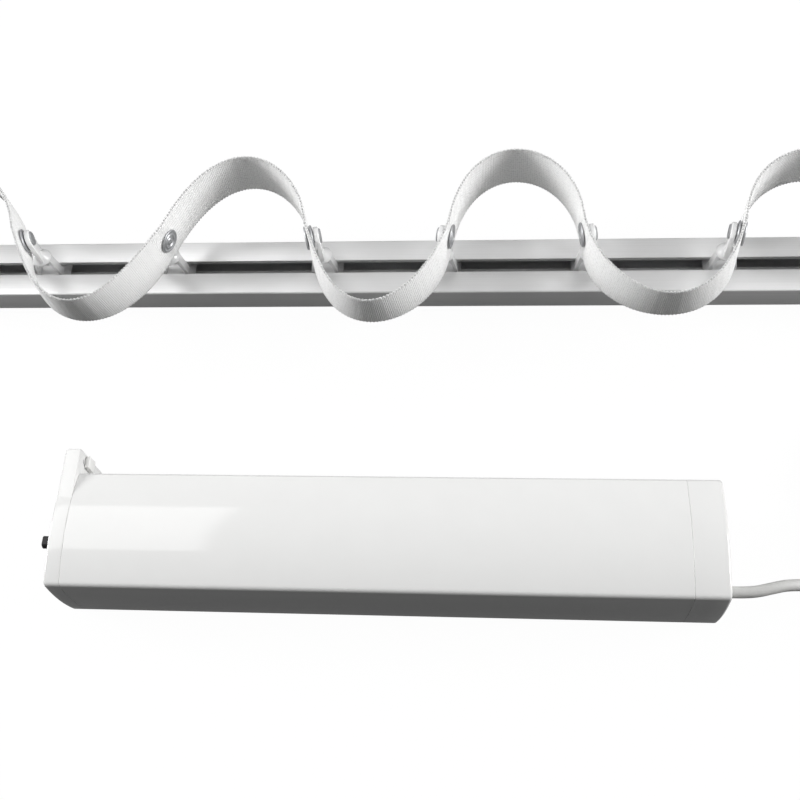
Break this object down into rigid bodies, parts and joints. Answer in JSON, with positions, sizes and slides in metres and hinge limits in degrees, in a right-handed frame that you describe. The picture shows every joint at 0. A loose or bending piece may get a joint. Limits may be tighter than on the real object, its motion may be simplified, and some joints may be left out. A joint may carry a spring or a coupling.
{
  "type": "electric curtain track",
  "caption": "Electric curtain track: slotted aluminium rail with snap carriers and folded heading tape, belt drive in end boxes, and a plug-in motor with cord laid beside it.",
  "frame": {"origin": "middle of the rail's mounting face, which lies on the table with the slot up", "axes": "+X along the rail towards the fixed end of the tape, +Y away from the motor, +Z out of the slot"},
  "size_m": [0.632, 0.2125, 0.0587],
  "materials": {
    "rail_aluminium": "satin anodised extrusion",
    "belt_rubber": "matt toothed-belt rubber",
    "box_plastic": "fine-grained moulding",
    "pulley_plastic": "moulded acetal",
    "screw_steel": "zinc plated",
    "hook_plastic": "moulded acetal, slightly glossy",
    "snap_metal": "nickel plated and pressed",
    "tape_webbing": "woven polyester with cross ribs",
    "motor_plastic": "smooth glossy moulding",
    "shaft_steel": "blackened steel",
    "bearing_steel": "ground steel",
    "gear_plastic": "moulded acetal gear",
    "gearbox_metal": "sintered metal",
    "can_steel": "drawn steel can",
    "rotor_copper": "wound rotor",
    "board_laminate": "printed circuit board",
    "latch_plastic": "white moulding",
    "button_plastic": "soft matt moulding",
    "cord_sheath": "light grey flexible sheath",
    "tie_plastic": "coated tie",
    "plug_plastic": "moulded plug",
    "pin_brass": "nickelled brass pins"
  },
  "bodies": {
    "track": {"track_rail": "rail_aluminium", "drive_belt": "belt_rubber", "drive_box": "box_plastic", "drive_box_cover": "box_plastic", "tail_box": "box_plastic", "tail_box_cover": "box_plastic", "box_screws": "screw_steel", "end_hook": "hook_plastic", "end_snap": "snap_metal", "motor_housing": "motor_plastic", "hanger_plate": "motor_plastic", "end_cap": "motor_plastic", "output_bearing": "bearing_steel", "gearbox_case": "gearbox_metal", "motor_can": "can_steel", "control_board": "board_laminate", "motor_screws": "screw_steel", "cord_gland": "cord_sheath", "power_cord": "cord_sheath", "cord_coil": "cord_sheath", "coil_tie": "tie_plastic", "mains_plug": "plug_plastic", "plug_pins": "pin_brass"},
    "master": {"master_carrier": "hook_plastic", "master_pendant": "hook_plastic", "master_snap": "snap_metal", "tape_loop_0": "tape_webbing"},
    "carrier_1": {"runner_1": "hook_plastic", "pendant_1": "hook_plastic", "snap_1": "snap_metal", "tape_loop_1": "tape_webbing"},
    "carrier_2": {"runner_2": "hook_plastic", "pendant_2": "hook_plastic", "snap_2": "snap_metal", "tape_loop_2": "tape_webbing"},
    "carrier_3": {"runner_3": "hook_plastic", "pendant_3": "hook_plastic", "snap_3": "snap_metal", "tape_loop_3": "tape_webbing"},
    "carrier_4": {"runner_4": "hook_plastic", "pendant_4": "hook_plastic", "snap_4": "snap_metal", "tape_loop_4": "tape_webbing"},
    "carrier_5": {"runner_5": "hook_plastic", "pendant_5": "hook_plastic", "snap_5": "snap_metal", "tape_loop_5": "tape_webbing"},
    "carrier_6": {"runner_6": "hook_plastic", "pendant_6": "hook_plastic", "snap_6": "snap_metal", "tape_loop_6": "tape_webbing"},
    "drive_pulley": {"drive_pulley": "pulley_plastic"},
    "tail_pulley": {"tail_pulley": "pulley_plastic"},
    "output": {"output_shaft": "shaft_steel"},
    "rotor": {"rotor": "rotor_copper"},
    "planet_1": {"planet_gear_1": "gear_plastic"},
    "planet_2": {"planet_gear_2": "gear_plastic"},
    "planet_3": {"planet_gear_3": "gear_plastic"},
    "button": {"set_button": "button_plastic"},
    "latch": {"release_latch": "latch_plastic"}
  },
  "joints": [
    {"name": "carrier_6_slide", "type": "slide", "parent": "track", "child": "carrier_6", "axis": [1, 0, 0], "range_m": [0, 0.032], "deforming": ["tape_loop_6"]},
    {"name": "carrier_5_slide", "type": "slide", "parent": "carrier_6", "child": "carrier_5", "axis": [1, 0, 0], "range_m": [0, 0.032], "deforming": ["tape_loop_5"]},
    {"name": "carrier_4_slide", "type": "slide", "parent": "carrier_5", "child": "carrier_4", "axis": [1, 0, 0], "range_m": [0, 0.032], "deforming": ["tape_loop_4"]},
    {"name": "carrier_3_slide", "type": "slide", "parent": "carrier_4", "child": "carrier_3", "axis": [1, 0, 0], "range_m": [0, 0.032], "deforming": ["tape_loop_3"]},
    {"name": "carrier_2_slide", "type": "slide", "parent": "carrier_3", "child": "carrier_2", "axis": [1, 0, 0], "range_m": [0, 0.032], "deforming": ["tape_loop_2"]},
    {"name": "carrier_1_slide", "type": "slide", "parent": "carrier_2", "child": "carrier_1", "axis": [1, 0, 0], "range_m": [0, 0.032], "deforming": ["tape_loop_1"]},
    {"name": "master_slide", "type": "slide", "parent": "carrier_1", "child": "master", "axis": [1, 0, 0], "range_m": [0, 0.032], "deforming": ["tape_loop_0"]},
    {"name": "drive_pulley_turn", "type": "hinge", "parent": "track", "child": "drive_pulley", "pos_m": [-0.288, 0, 0.0125], "axis": [0, 0, 1], "range_deg": [-1240, 0]},
    {"name": "tail_pulley_turn", "type": "hinge", "parent": "track", "child": "tail_pulley", "pos_m": [0.288, 0, 0.0125], "axis": [0, 0, 1], "range_deg": [-1240, 0]},
    {"name": "output_turn", "type": "hinge", "parent": "track", "child": "output", "pos_m": [-0.12, -0.1446, 0.0201], "axis": [1, 0, 0], "continuous": true},
    {"name": "rotor_turn", "type": "hinge", "parent": "track", "child": "rotor", "pos_m": [-0.06, -0.1446, 0.0201], "axis": [1, 0, 0], "continuous": true},
    {"name": "planet_1_turn", "type": "hinge", "parent": "output", "child": "planet_1", "pos_m": [-0.11, -0.1356, 0.0201], "axis": [1, 0, 0], "continuous": true},
    {"name": "planet_2_turn", "type": "hinge", "parent": "output", "child": "planet_2", "pos_m": [-0.11, -0.1491, 0.02789], "axis": [1, 0, 0], "continuous": true},
    {"name": "planet_3_turn", "type": "hinge", "parent": "output", "child": "planet_3", "pos_m": [-0.11, -0.1491, 0.01231], "axis": [1, 0, 0], "continuous": true},
    {"name": "set_button_press", "type": "slide", "parent": "track", "child": "button", "axis": [-1, 0, 0], "range_m": [0, 0.001], "stiffness_N_per_m": 300},
    {"name": "release_latch_slide", "type": "slide", "parent": "track", "child": "latch", "axis": [0, 0, -1], "range_m": [0, 0.004], "stiffness_N_per_m": 100}
  ],
  "couplings": [
    {"joint": "carrier_5_slide", "follows": "carrier_6_slide", "ratio": 1},
    {"joint": "carrier_4_slide", "follows": "carrier_6_slide", "ratio": 1},
    {"joint": "carrier_3_slide", "follows": "carrier_6_slide", "ratio": 1},
    {"joint": "carrier_2_slide", "follows": "carrier_6_slide", "ratio": 1},
    {"joint": "carrier_1_slide", "follows": "carrier_6_slide", "ratio": 1},
    {"joint": "master_slide", "follows": "carrier_6_slide", "ratio": 1},
    {"joint": "drive_pulley_turn", "follows": "carrier_6_slide", "rad_per_m": -669.86},
    {"joint": "tail_pulley_turn", "follows": "carrier_6_slide", "rad_per_m": -669.86},
    {"joint": "rotor_turn", "follows": "output_turn", "ratio": 5},
    {"joint": "planet_1_turn", "follows": "output_turn", "ratio": -2.6667},
    {"joint": "planet_2_turn", "follows": "output_turn", "ratio": -2.6667},
    {"joint": "planet_3_turn", "follows": "output_turn", "ratio": -2.6667}
  ]
}
